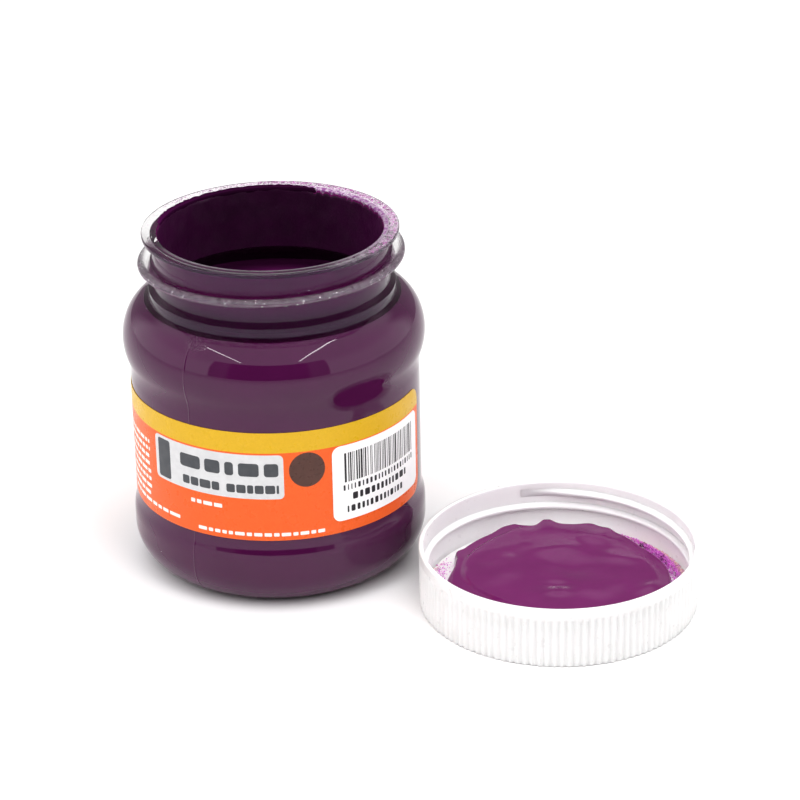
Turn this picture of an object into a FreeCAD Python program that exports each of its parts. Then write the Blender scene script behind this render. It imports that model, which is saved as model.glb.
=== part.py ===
"""Wide-mouth paint jar standing open, with its screw cap upside down beside it.

Millimetres, +Z up. The origin is the centre of the jar's base, on the surface
the jar stands on. The cap lies on the same surface, open end up.
"""
import FreeCAD, Part
import Sketcher

import math
import os

Vector = FreeCAD.Vector

# Driving dimensions, in millimetres unless the alias says otherwise.
DIMENSIONS = {
    # jar, outside
    "jar_height": 82.9,
    "base_radius": 25.5,
    "heel_radius": 9.6,
    "heel_top": 12.5,
    "panel_radius": 34.2,
    "panel_low": 18.4,
    "panel_high": 48.6,
    "shoulder_radius": 35.65,
    "shoulder_height": 57.0,
    "shoulder_arc": 12.3,
    "bead_radius": 29.0,
    "bead_low": 67.9,
    "bead_high": 69.3,
    "neck_radius": 27.7,
    "neck_low": 70.3,
    "lip_radius": 30.0,
    "lip_low": 81.9,
    "land_radius": 27.6,
    "land_drop": 0.2,
    # jar, inside
    "bore_radius": 26.4,
    "wall": 1.0,
    # screw thread of jar and cap
    "pitch": 3.6,
    "jar_ridge_radius": 31.2,
    "jar_ridge_root": 27.3,
    "jar_ridge_start": 74.3,
    "jar_ridge_turns": 0.95,
    "jar_ridge_azimuth": 100.0,
    "ridge_root_width": 2.0,
    "ridge_crest_width": 1.1,
    # paint in the jar
    "paint_level": 60.5,
    "paint_edge_radius": 34.06,
    "paint_gap": 0.03,
    "film_thickness": 0.25,
    "film_high": 82.5,
    # label and sticker
    "label_low": 18.5,
    "label_high": 45.9,
    "label_thickness": 0.12,
    "label_gap": 0.02,
    "label_from": 32.0,
    "label_to": 343.0,
    "sticker_low": 21.5,
    "sticker_high": 40.6,
    "sticker_from": 290.5,
    "sticker_to": 339.5,
    # cap
    "cap_offset_x": 64.1,
    "cap_offset_y": -33.5,
    "cap_height": 14.7,
    "cap_radius": 32.55,
    "cap_bore_radius": 31.5,
    "cap_plate": 1.5,
    "cap_edge": 0.4,
    "cap_ridge_radius": 30.3,
    "cap_ridge_root": 31.8,
    "cap_ridge_start": 7.15,
    "cap_ridge_turns": 1.35,
    "cap_ridge_azimuth": -25.0,
    "rib_count": 120,
    "rib_depth": 0.35,
    "groove_width": 0.7,
    "rib_high": 12.4,
    # liner and the paint on it
    "liner_gap": 0.12,
    "liner_radius": 31.0,
    "liner_thickness": 1.0,
    "pool_radius": 28.4,
    "pool_height": 4.3,
    "pool_edge": 2.6,
    "crumb_size": 0.9,
}

doc = FreeCAD.newDocument("paint_jar")
sheet = doc.addObject("Spreadsheet::Sheet", "Sizes")


class Size:
    """A length that knows its value and the sheet expression that gives it."""

    def __init__(self, value, text):
        self.value = value
        self.text = text

    def combine(self, other, sign, value):
        other = as_size(other)
        return Size(value(self.value, other.value), f"({self.text} {sign} {other.text})")

    def __add__(self, other):
        return self.combine(other, "+", lambda a, b: a + b)

    def __sub__(self, other):
        return self.combine(other, "-", lambda a, b: a - b)

    def __mul__(self, other):
        return self.combine(other, "*", lambda a, b: a * b)

    def __truediv__(self, other):
        return self.combine(other, "/", lambda a, b: a / b)


def as_size(number):
    return number if isinstance(number, Size) else Size(float(number), str(number))


def size(alias):
    return Size(DIMENSIONS[alias], f"Sizes.{alias}")


def fill_sheet():
    for row, (alias, value) in enumerate(DIMENSIONS.items(), start=1):
        sheet.set(f"A{row}", alias.replace("_", " "))
        sheet.set(f"B{row}", str(value))
        sheet.setAlias(f"B{row}", alias)
    doc.recompute()


def new_body(label):
    body = doc.addObject("PartDesign::Body", label)
    body.Label = label
    return body


def origin_feature(body, role):
    return next(item for item in body.Origin.OriginFeatures if item.Role == role)


def new_sketch(body, name, plane):
    sketch = body.newObject("Sketcher::SketchObject", name)
    sketch.AttachmentSupport = [(origin_feature(body, plane), "")]
    sketch.MapMode = "FlatFace"
    return sketch


def bind(sketch, constraint, value):
    index = sketch.addConstraint(constraint)
    sketch.setExpression(f"Constraints[{index}]", value.text)


def pin_point(sketch, curve, end, point):
    """Tie one end of a curve to the sketch axes at the stated sizes."""
    for kind, value in zip(("DistanceX", "DistanceY"), point):
        if value.value == 0:
            axis = -2 if kind == "DistanceX" else -1
            sketch.addConstraint(Sketcher.Constraint("PointOnObject", curve, end, axis))
        else:
            bind(sketch, Sketcher.Constraint(kind, -1, 1, curve, end, value.value), value)


def arc_between(first, last, radius, turn):
    """Arc from first to last; turn is +1 for counter-clockwise, -1 for clockwise."""
    start = Vector(first[0].value, first[1].value, 0)
    stop = Vector(last[0].value, last[1].value, 0)
    chord = stop - start
    rise = math.sqrt(max(radius.value ** 2 - (chord.Length / 2) ** 2, 0))
    side = Vector(-chord.y, chord.x, 0).normalize() * (rise * turn)
    centre = (start + stop) / 2 + side
    if turn < 0:
        start, stop = stop, start
    first_angle = math.atan2(start.y - centre.y, start.x - centre.x)
    last_angle = math.atan2(stop.y - centre.y, stop.x - centre.x)
    circle = Part.Circle(centre, Vector(0, 0, 1), radius.value)
    return Part.ArcOfCircle(circle, first_angle, last_angle)


def draw_outline(sketch, points):
    """Closed outline. Each point is (x, y) or (x, y, radius, turn) of the arc that leaves it."""
    points = [tuple(as_size(item) for item in point[:2]) + tuple(point[2:]) for point in points]
    ends = []
    for first, last in zip(points, points[1:] + points[:1]):
        if len(first) == 2:
            start = Vector(first[0].value, first[1].value, 0)
            stop = Vector(last[0].value, last[1].value, 0)
            curve = sketch.addGeometry(Part.LineSegment(start, stop))
            ends.append((curve, 1, 2))
        else:
            radius, turn = first[2:]
            curve = sketch.addGeometry(arc_between(first, last, radius, turn))
            ends.append((curve, 1, 2) if turn > 0 else (curve, 2, 1))
    for here, following in zip(ends, ends[1:] + ends[:1]):
        sketch.addConstraint(
            Sketcher.Constraint("Coincident", here[0], here[2], following[0], following[1]))
    for point, (curve, start_end, _) in zip(points, ends):
        pin_point(sketch, curve, start_end, point[:2])
        if len(point) == 4:
            bind(sketch, Sketcher.Constraint("Radius", curve, point[2].value), point[2])


def revolve(body, name, points):
    """Solid of revolution about the body's Z axis from an outline in its XZ plane."""
    sketch = new_sketch(body, name + "_outline", "XZ_Plane")
    draw_outline(sketch, points)
    turned = body.newObject("PartDesign::Revolution", name)
    turned.Profile = sketch
    turned.ReferenceAxis = (sketch, ["V_Axis"])
    turned.Angle = 360
    doc.recompute()
    return turned


def s_curve_radius(narrow, wide, rise):
    """Radius of two equal arcs that join two upright walls across a height."""
    step = wide - narrow
    return (rise * rise + step * step) / (step * 4)


def wall_curve(inset):
    """Jar wall from the base's flat to the root of the neck, moved inward by inset."""
    bulge = size("base_radius") + size("heel_radius") - inset
    panel = size("panel_radius") - inset
    shoulder = size("shoulder_radius") - inset
    low_rise = size("panel_low") - size("heel_top")
    high_rise = size("shoulder_height") - size("panel_high")
    low_arc = s_curve_radius(panel, bulge, low_rise)
    high_arc = s_curve_radius(panel, shoulder, high_rise)
    return [
        (bulge, size("heel_radius")),
        (bulge, size("heel_top"), low_arc, 1),
        ((bulge + panel) / 2, size("heel_top") + low_rise / 2, low_arc, -1),
        (panel, size("panel_low")),
        (panel, size("panel_high"), high_arc, -1),
        ((panel + shoulder) / 2, size("panel_high") + high_rise / 2, high_arc, 1),
        (shoulder, size("shoulder_height"), size("shoulder_arc") - inset, 1),
    ]


def reverse_outline(points):
    """The same outline walked the other way, with each arc moved to its new first point."""
    turned = []
    for index in range(len(points) - 1, -1, -1):
        arc = points[index - 1][2:] if index > 0 else ()
        point = points[index][:2]
        turned.append(point + ((arc[0], -arc[1]) if arc else ()))
    return turned


def add_ridge(body, name, crest, root, start_height, turns):
    """Helical thread ridge with a trapezoid section, about the body's Z axis."""
    half_root = size("ridge_root_width") / 2
    half_crest = size("ridge_crest_width") / 2
    outline = [
        (root, start_height - half_root),
        (crest, start_height - half_crest),
        (crest, start_height + half_crest),
        (root, start_height + half_root),
    ]
    sketch = new_sketch(body, name + "_outline", "XZ_Plane")
    draw_outline(sketch, outline)
    doc.recompute()
    ridge = body.newObject("PartDesign::AdditiveHelix", name)
    ridge.Profile = sketch
    ridge.ReferenceAxis = (sketch, ["V_Axis"])
    ridge.Mode = "pitch-turns-angle"
    ridge.setExpression("Pitch", "Sizes.pitch")
    ridge.setExpression("Turns", turns.text)
    ridge.LeftHanded = False
    ridge.Reversed = False
    doc.recompute()
    return ridge


def place(part, x="0", y="0", z="0", angle=None):
    """Bind a sub-part's placement to the sheet; angle turns it about +Z."""
    part.setExpression("Placement.Base.x", x)
    part.setExpression("Placement.Base.y", y)
    part.setExpression("Placement.Base.z", z)
    part.Placement.Rotation = FreeCAD.Rotation(Vector(0, 0, 1), angle.value if angle else 0)
    if angle:
        part.setExpression("Placement.Rotation.Angle", angle.text)


def place_at_cap(part, angle=None):
    place(part, "Sizes.cap_offset_x", "Sizes.cap_offset_y", "0", angle)


def make_jar_shell():
    """Clear one-piece jar: body, shoulder, neck bead, thread ridge and lip."""
    body = new_body("jar_shell")
    wall = size("wall")
    outside = [(0, 0), (size("base_radius"), 0, size("heel_radius"), 1)]
    outside += wall_curve(as_size(0))
    neck = [
        (size("bead_radius"), size("bead_low")),
        (size("bead_radius"), size("bead_high")),
        (size("neck_radius"), size("neck_low")),
        (size("neck_radius"), size("lip_low")),
        (size("lip_radius"), size("lip_low")),
        (size("lip_radius"), size("jar_height")),
        (size("land_radius"), size("jar_height")),
        (size("bore_radius"), size("jar_height") - size("land_drop")),
    ]
    inside = [(size("base_radius"), wall, size("heel_radius") - wall, 1)]
    inside += wall_curve(wall)
    inside += [(size("bore_radius"), size("bead_low"))]
    outline = outside + neck + reverse_outline(inside) + [(0, wall)]
    revolve(body, "jar_wall", outline)
    add_ridge(body, "jar_thread", size("jar_ridge_radius"), size("jar_ridge_root"),
              size("jar_ridge_start"), size("jar_ridge_turns"))
    place(body, angle=size("jar_ridge_azimuth"))
    return body


def make_paint_fill():
    """The paint left in the jar, up to a level inside the shoulder."""
    body = new_body("paint_fill")
    inset = size("wall") + size("paint_gap")
    outline = [(0, inset), (size("base_radius"), inset, size("heel_radius") - inset, 1)]
    outline += wall_curve(inset)
    outline += [(size("paint_edge_radius"), size("paint_level")), (0, size("paint_level"))]
    revolve(body, "paint_volume", outline)
    return body


def make_paint_film():
    """Dried paint coat on the inside of the shoulder and neck, above the level."""
    body = new_body("paint_film")
    gap = size("paint_gap")
    skin = size("film_thickness")
    outer_arc = size("shoulder_arc") - size("wall") - gap
    outer = size("bore_radius") - gap
    foot = size("paint_level") + gap
    outline = [
        (size("paint_edge_radius"), foot, outer_arc, 1),
        (outer, size("bead_low")),
        (outer, size("film_high")),
        (outer - skin, size("film_high")),
        (outer - skin, size("bead_low") - skin, outer_arc - skin, -1),
        (size("paint_edge_radius") - skin, foot),
    ]
    revolve(body, "film_skin", outline)
    return body


def wrapped_sheet(label, inner, thickness, name):
    """Thin sheet bent round the label panel."""
    low, high = size(f"{name}_low"), size(f"{name}_high")
    first, last = size(f"{name}_from"), size(f"{name}_to")
    outside = doc.addObject("Part::Cylinder", label + "_outside")
    outside.setExpression("Radius", (inner + thickness).text)
    outside.setExpression("Height", (high - low).text)
    outside.setExpression("Angle", (last - first).text)
    inside = doc.addObject("Part::Cylinder", label + "_inside")
    inside.setExpression("Radius", inner.text)
    inside.setExpression("Height", (high - low).text)
    sheet_band = doc.addObject("Part::Cut", label)
    sheet_band.Label = label
    sheet_band.Base = outside
    sheet_band.Tool = inside
    place(sheet_band, z=low.text, angle=first)
    return sheet_band


def make_wrap_label():
    """Printed film label round the panel, open at the back."""
    inner = size("panel_radius") + size("label_gap")
    return wrapped_sheet("wrap_label", inner, size("label_thickness"), "label")


def make_shade_sticker():
    """Small paper sticker over one end of the label."""
    inner = size("panel_radius") + size("label_gap") * 2 + size("label_thickness")
    return wrapped_sheet("shade_sticker", inner, size("label_thickness"), "sticker")


def make_cap_shell():
    """Screw cap, open end up: plate, ribbed skirt and inner thread ridge."""
    body = new_body("cap_shell")
    edge = size("cap_edge")
    outline = [
        (0, 0),
        (size("cap_radius") - edge, 0),
        (size("cap_radius"), edge),
        (size("cap_radius"), size("cap_height") - edge),
        (size("cap_radius") - edge, size("cap_height")),
        (size("cap_bore_radius") + edge / 2, size("cap_height")),
        (size("cap_bore_radius"), size("cap_height") - edge),
        (size("cap_bore_radius"), size("cap_plate")),
        (0, size("cap_plate")),
    ]
    revolve(body, "cap_wall", outline)
    cut_ribs(body)
    add_ridge(body, "cap_thread", size("cap_ridge_radius"), size("cap_ridge_root"),
              size("cap_ridge_start"), size("cap_ridge_turns"))
    place_at_cap(body, size("cap_ridge_azimuth"))
    return body


def cut_ribs(body):
    """Grooves between the grip ribs, cut upward from the plate's outer face."""
    before = body.Shape.Volume
    half = size("groove_width") / 2
    root = size("cap_radius") - size("rib_depth")
    mouth = size("cap_radius") + size("rib_depth")
    sketch = new_sketch(body, "rib_groove_outline", "XY_Plane")
    draw_outline(sketch, [(root, as_size(0)), (mouth, as_size(0) - half * 2), (mouth, half * 2)])
    groove = body.newObject("PartDesign::Pocket", "rib_groove")
    groove.Profile = sketch
    groove.Reversed = True
    groove.setExpression("Length", "Sizes.rib_high")
    doc.recompute()
    ring = body.newObject("PartDesign::PolarPattern", "rib_grooves")
    ring.Originals = [groove]
    ring.Axis = (sketch, ["N_Axis"])
    ring.Angle = 360
    ring.setExpression("Occurrences", "Sizes.rib_count")
    body.Tip = ring
    doc.recompute()
    print("rib grooves removed", round(before - body.Shape.Volume, 1), "mm3")


def liner_foot():
    return size("cap_plate") + size("liner_gap")


def liner_face():
    return liner_foot() + size("liner_thickness")


def make_cap_liner():
    """Loose sealing disc that lies on the inside of the cap's plate."""
    body = new_body("cap_liner")
    outline = [
        (0, liner_foot()),
        (size("liner_radius"), liner_foot()),
        (size("liner_radius"), liner_face()),
        (0, liner_face()),
    ]
    revolve(body, "liner_disc", outline)
    place_at_cap(body)
    return body


def make_cap_paint():
    """Thick pool of paint that fell on the liner."""
    body = new_body("cap_paint")
    edge = size("pool_edge")
    outline = [
        (0, liner_face()),
        (size("pool_radius"), liner_face(), edge, 1),
        (size("pool_radius") - edge, liner_face() + edge),
        (0, liner_face() + size("pool_height")),
    ]
    revolve(body, "pool", outline)
    place_at_cap(body)
    return body


def make_dried_paint():
    """Crumbs of dried paint in two patches on the liner, outside the pool."""
    patches = ((4.0, 9, 6.5), (165.0, 4, 5.0))
    ring = (size("pool_radius").value + size("cap_ridge_radius").value) / 2
    crumbs = []
    for first, count, step in patches:
        for number in range(count):
            crumb = doc.addObject("Part::Box", "crumb")
            share = round(0.6 + 0.4 * math.sin(2.4 * number + first) ** 2, 2)
            edge = size("crumb_size") * share
            for side in ("Length", "Width", "Height"):
                crumb.setExpression(side, edge.text)
            angle = math.radians(first + step * number)
            x = ring * math.cos(angle) - edge.value / 2
            y = ring * math.sin(angle) - edge.value / 2
            place(crumb, f"{x:.2f}", f"{y:.2f}", liner_face().text)
            crumbs.append(crumb)
    group = doc.addObject("Part::Compound", "dried_paint")
    group.Label = "dried_paint"
    group.Links = crumbs
    place_at_cap(group)
    return group


def check_and_export(parts):
    """Stop on any failed feature, then write one STEP file per sub-part."""
    doc.recompute()
    for item in doc.Objects:
        if "Invalid" in item.State or "Error" in item.State:
            raise RuntimeError(f"{item.Name} failed: {item.State}")
    for part in parts:
        if part.Shape.isNull() or not part.Shape.isValid():
            raise RuntimeError(f"{part.Label} has no valid shape")
    os.makedirs("parts", exist_ok=True)
    for part in parts:
        part.Shape.exportStep(f"parts/{part.Label}.step")
        box = part.Shape.BoundBox
        corner = [round(value, 2) for value in (box.XMin, box.YMin, box.ZMin)]
        far = [round(value, 2) for value in (box.XMax, box.YMax, box.ZMax)]
        print(part.Label, corner, far, round(part.Shape.Volume, 1), "mm3")


fill_sheet()
check_and_export([
    make_jar_shell(),
    make_paint_fill(),
    make_paint_film(),
    make_wrap_label(),
    make_shade_sticker(),
    make_cap_shell(),
    make_cap_liner(),
    make_cap_paint(),
    make_dried_paint(),
])
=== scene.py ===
"""Looks for the open paint jar: clear jar, paint, printed label, and cap with its paint pool."""
import math
import random

import bpy
from mathutils import Matrix, Vector, noise


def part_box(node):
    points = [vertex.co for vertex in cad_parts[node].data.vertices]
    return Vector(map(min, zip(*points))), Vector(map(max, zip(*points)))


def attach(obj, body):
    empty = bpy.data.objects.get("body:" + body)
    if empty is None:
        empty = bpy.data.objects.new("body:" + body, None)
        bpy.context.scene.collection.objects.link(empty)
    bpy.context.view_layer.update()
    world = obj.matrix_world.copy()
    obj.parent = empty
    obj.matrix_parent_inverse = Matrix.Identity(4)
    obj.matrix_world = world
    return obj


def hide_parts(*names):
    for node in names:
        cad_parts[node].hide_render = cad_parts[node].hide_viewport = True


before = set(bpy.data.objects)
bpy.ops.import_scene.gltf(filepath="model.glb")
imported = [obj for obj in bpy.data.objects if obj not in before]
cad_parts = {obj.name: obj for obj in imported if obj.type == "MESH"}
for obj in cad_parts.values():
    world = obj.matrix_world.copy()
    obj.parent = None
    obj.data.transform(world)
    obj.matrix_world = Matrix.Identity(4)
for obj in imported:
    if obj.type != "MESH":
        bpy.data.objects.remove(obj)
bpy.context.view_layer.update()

MM = 0.001
TAU = 2 * math.pi

# ---- sizes, in millimetres


def node_box(node):
    low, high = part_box(node)
    return [value / MM for value in low], [value / MM for value in high]


JAR_HIGH = node_box("jar_shell")[1]
CAP_LOW, CAP_HIGH = node_box("cap_shell")
LINER_LOW, LINER_HIGH = node_box("cap_liner")
POOL_LOW, POOL_HIGH = node_box("cap_paint")
LABEL_LOW, LABEL_HIGH = node_box("wrap_label")
STICKER_LOW, STICKER_HIGH = node_box("shade_sticker")

JAR_HEIGHT = JAR_HIGH[2]
SHOULDER_RADIUS = JAR_HIGH[0]
SHOULDER_HEIGHT = 57.0
SHOULDER_ARC = 12.3      # radius of the shoulder up to its turn
SHOULDER_TURN = 25.0     # degrees above level where the tighter arc starts
SHOULDER_TOP_ARC = 8.5
SHOULDER_TOP_TURN = 58.0
PANEL_RADIUS = 34.2
PANEL_LOW = 18.4
PANEL_HIGH = 48.6
BASE_RADIUS = 25.5
HEEL_RADIUS = 9.6
HEEL_TOP = 12.5
BEAD_RADIUS = 29.0
BEAD_LOW = 67.9
BEAD_HIGH = 69.3
NECK_RADIUS = 27.7
NECK_LOW = 70.3
LIP_RADIUS = 30.0
LIP_LOW = JAR_HEIGHT - 1.0
LAND_RADIUS = 27.6
LAND_HEIGHT = JAR_HEIGHT - 0.08
BORE_RADIUS = 26.4
WALL = 1.0
SEAM_AZIMUTH = -126.0
CREASE_RADIUS = 30.1     # the crease under the neck runs from the neck out to here
CREASE_LOW = 65.7
BODY_TOP = 65.8          # the wall is wetted by paint below this height
FLAW_RADIUS = 31.8
FLAW_HEIGHT = 65.6

THREAD_PITCH = 3.6
JAR_THREAD_RADIUS = 31.2
JAR_THREAD_START = 74.3
JAR_THREAD_AZIMUTH = 100.0
JAR_THREAD_TURNS = 0.95

PAINT_LEVEL = 60.5
WETTED = 0.12          # how far paint reaches into the clear wall, so no air shows between
COAT_THICKNESS = 0.38  # of the dried coat, measured from its wetted skin
FILM_TOP = 82.6
RIM_COAT_LOW = FILM_TOP - 1.2

CAP_AXIS = ((CAP_LOW[0] + CAP_HIGH[0]) / 2, (CAP_LOW[1] + CAP_HIGH[1]) / 2)
CAP_RADIUS = (CAP_HIGH[0] - CAP_LOW[0]) / 2
CAP_HEIGHT = CAP_HIGH[2]
CAP_BORE = 31.5
CAP_PLATE = 1.5
CAP_THREAD_RADIUS = 30.3
CAP_THREAD_START = 7.15
CAP_THREAD_AZIMUTH = -25.0
CAP_THREAD_TURNS = 1.35
RIB_COUNT = 120
RIB_DEPTH = 0.35
RIB_TOP = 12.4
LINER_FACE = LINER_HIGH[2]
LINER_RADIUS = (LINER_HIGH[0] - LINER_LOW[0]) / 2
POOL_RADIUS = (POOL_HIGH[0] - POOL_LOW[0]) / 2

LABEL_FROM = 32.0
LABEL_TO = 343.0
LABEL_CORNER = 4.0
YELLOW_LOW = 40.85
STICKER_FROM = 290.5
STICKER_TO = 339.5
STICKER_CORNER = 2.0
PRINT_THICKNESS = 0.02

# ---- light

TENT_SIDES = 1.5
TENT_ROOF = 1.2
TENT_BACK = 0.42
TENT_FLAPS = 0.28
TENT_OPENING = 0.02
LAMP_HEIGHT = 0.51     # metres
LAMP_POWER = 0.4       # watts
GLOW_POWER = 1.4


# ---- outlines (radius, height)


def arc(centre, radius, first, last, steps):
    """Points on an arc; angles in degrees, 0 pointing outward and 90 up."""
    points = []
    for step in range(steps + 1):
        x, y = flat(radius, first + (last - first) * step / steps)
        points.append((centre[0] + x, centre[1] + y))
    return points


def s_curve(low, high, steps):
    """Two equal arcs that join an upright wall at low to an upright wall at high."""
    rise = high[1] - low[1]
    shift = high[0] - low[0]
    radius = (rise ** 2 + shift ** 2) / (4 * abs(shift))
    points = []
    for step in range(steps + 1):
        up = rise * step / steps
        if up <= rise / 2:
            bend = radius - math.sqrt(radius ** 2 - up ** 2)
        else:
            bend = abs(shift) - radius + math.sqrt(radius ** 2 - (rise - up) ** 2)
        points.append((low[0] + math.copysign(bend, shift), low[1] + up))
    return points


def straight(first, last, steps):
    return [tuple(a + (b - a) * step / steps for a, b in zip(first, last))
            for step in range(steps + 1)]


def rounded(corners, steps=4):
    """Open outline through (x, y, fillet) corners, each rounded with its own fillet radius."""
    points = [corners[0][:2]]
    for before, here, after in zip(corners, corners[1:], corners[2:]):
        corner = Vector(here[:2])
        back = (Vector(before[:2]) - corner).normalized()
        ahead = (Vector(after[:2]) - corner).normalized()
        half = back.angle(ahead) / 2
        reach = here[2] / math.tan(half)
        centre = corner + (back + ahead).normalized() * (here[2] / math.sin(half))
        first = corner + back * reach - centre
        turn = (math.pi - 2 * half) * (1 if back.cross(ahead) < 0 else -1)
        for step in range(steps + 1):
            angle = turn * step / steps
            offset = Vector((first.x * math.cos(angle) - first.y * math.sin(angle),
                             first.x * math.sin(angle) + first.y * math.cos(angle)))
            points.append(tuple(centre + offset))
    points.append(corners[-1][:2])
    return points


def wall_outline(inset):
    """The jar's wall from the base's flat up to the root of the neck, moved inward by inset."""
    bulge = BASE_RADIUS + HEEL_RADIUS - inset
    panel = PANEL_RADIUS - inset
    shoulder = SHOULDER_RADIUS - inset
    points = arc((BASE_RADIUS, HEEL_RADIUS), HEEL_RADIUS - inset, -90, 0, 20)
    points += straight((bulge, HEEL_RADIUS), (bulge, HEEL_TOP), 4)[1:]
    points += s_curve((bulge, HEEL_TOP), (panel, PANEL_LOW), 16)[1:]
    points += straight((panel, PANEL_LOW), (panel, PANEL_HIGH), 10)[1:]
    points += s_curve((panel, PANEL_HIGH), (shoulder, SHOULDER_HEIGHT), 20)[1:]
    return points


def shoulder_outline(inset, inner_radius):
    """The shoulder from its widest point: two arcs, then a nearly flat run in to inner_radius."""
    centre = (SHOULDER_RADIUS - SHOULDER_ARC, SHOULDER_HEIGHT)
    points = arc(centre, SHOULDER_ARC - inset, 0, SHOULDER_TURN, 14)[1:]
    turn = math.radians(SHOULDER_TURN)
    change = SHOULDER_ARC - SHOULDER_TOP_ARC
    centre = (centre[0] + change * math.cos(turn), centre[1] + change * math.sin(turn))
    points += arc(centre, SHOULDER_TOP_ARC - inset, SHOULDER_TURN, SHOULDER_TOP_TURN, 16)[1:]
    last = points[-1]
    for step in range(1, 9):
        inward = (last[0] - inner_radius) * step / 8
        rise = inward / math.tan(math.radians(SHOULDER_TOP_TURN + 3))
        points.append((last[0] - inward, last[1] + rise))
    return points


def up_to(points, height):
    return [point for point in points if point[1] <= height]


# ---- meshes


def flat(radius, azimuth):
    """x and y of a place round an upright axis, in the radius's unit."""
    angle = math.radians(azimuth)
    return radius * math.cos(angle), radius * math.sin(angle)


def polar(radius, azimuth, height, centre=(0.0, 0.0)):
    """A place in metres from a radius, azimuth and height in millimetres and degrees."""
    x, y = flat(radius, azimuth)
    return (centre[0] + x) * MM, (centre[1] + y) * MM, height * MM


def turn_from(middle, azimuth):
    """Signed turn in degrees from one azimuth to another, at most half a turn."""
    return (azimuth - middle + 180) % 360 - 180


def make_piece(name, skin, material, body, sharp):
    """A mesh piece from a skin, which is its points and its faces."""
    mesh = bpy.data.meshes.new(name)
    mesh.from_pydata(skin[0], [], skin[1])
    mesh.validate()
    mesh.update()
    for polygon in mesh.polygons:
        polygon.use_smooth = True
    mesh.set_sharp_from_angle(angle=math.radians(sharp))
    piece = bpy.data.objects.new(name, mesh)
    bpy.context.scene.collection.objects.link(piece)
    mesh.materials.append(material)
    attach(piece, body)
    return piece


def spun(columns, rows, centre=(0.0, 0.0)):
    """Points of all rows at each azimuth; rows are functions of azimuth that give (radius, height)."""
    points = []
    for azimuth in columns:
        for row in rows:
            radius, height = row(azimuth)
            points.append(polar(radius, azimuth, height, centre))
    return points


def turned(columns, rows, centre=(0.0, 0.0)):
    """Closed skin of revolution. rows go from the axis at one end to the axis at the other."""
    points = spun(columns, rows[1:-1], centre)
    inner = len(rows) - 2
    faces = []
    count = len(columns)
    for column in range(count):
        here = column * inner
        there = (column + 1) % count * inner
        for row in range(inner - 1):
            faces.append((here + row, there + row, there + row + 1, here + row + 1))
    for end, row in ((rows[0], 0), (rows[-1], inner - 1)):
        pole = len(points)
        points.append(polar(0, 0, end(0)[1], centre))
        for column in range(count):
            here = column * inner + row
            there = (column + 1) % count * inner + row
            faces.append((pole, there, here) if row == 0 else (pole, here, there))
    return points, faces


def fixed_rows(outline):
    return [lambda azimuth, spot=spot: spot for spot in outline]


def even_columns(count):
    return [360.0 * index / count for index in range(count)]


def smooth_step(value):
    value = min(max(value, 0.0), 1.0)
    return value * value * (3 - 2 * value)


def noise_at(*place):
    return noise.noise(Vector(place))


# ---- materials


class Nodes:
    """Short names for the nodes that the looks and the tent are made of."""

    def __init__(self, tree):
        self.nodes = tree.nodes
        self.links = tree.links

    def link(self, value, socket):
        """Feed a socket from another socket, a colour of three numbers, or a number."""
        if isinstance(value, bpy.types.NodeSocket):
            self.links.new(value, socket)
        elif socket.type == "RGBA":
            socket.default_value = (*value, 1)
        else:
            socket.default_value = value

    def new(self, kind, **inputs):
        """A node with its inputs fed by name, where an underscore stands for a space."""
        node = self.nodes.new("ShaderNode" + kind)
        self.feed(node, inputs)
        return node

    def feed(self, node, inputs):
        for name, value in inputs.items():
            self.link(value, node.inputs[name.replace("_", " ")])

    def math(self, operation, first, second=0.0):
        node = self.new("Math")
        node.operation = operation
        self.link(first, node.inputs[0])
        self.link(second, node.inputs[1])
        return node.outputs[0]

    def plus(self, first, second):
        return self.math("ADD", first, second)

    def minus(self, first, second):
        return self.math("SUBTRACT", first, second)

    def times(self, first, *others):
        for other in others:
            first = self.math("MULTIPLY", first, other)
        return first

    def largest(self, first, *others):
        for other in others:
            first = self.math("MAXIMUM", first, other)
        return first

    def length(self, *parts):
        total = 0.0
        for part in parts:
            total = self.plus(self.times(part, part), total)
        return self.math("SQRT", total)

    def ramp(self, value, low, high, first=0.0, last=1.0, smooth=False):
        """Goes from first to last while value goes from low to high, and stays there beyond."""
        node = self.new("MapRange", Value=value, From_Min=low, From_Max=high, To_Min=first, To_Max=last)
        node.interpolation_type = "SMOOTHSTEP" if smooth else "LINEAR"
        return node.outputs["Result"]

    def split(self, vector):
        return self.new("SeparateXYZ", Vector=vector).outputs


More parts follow.
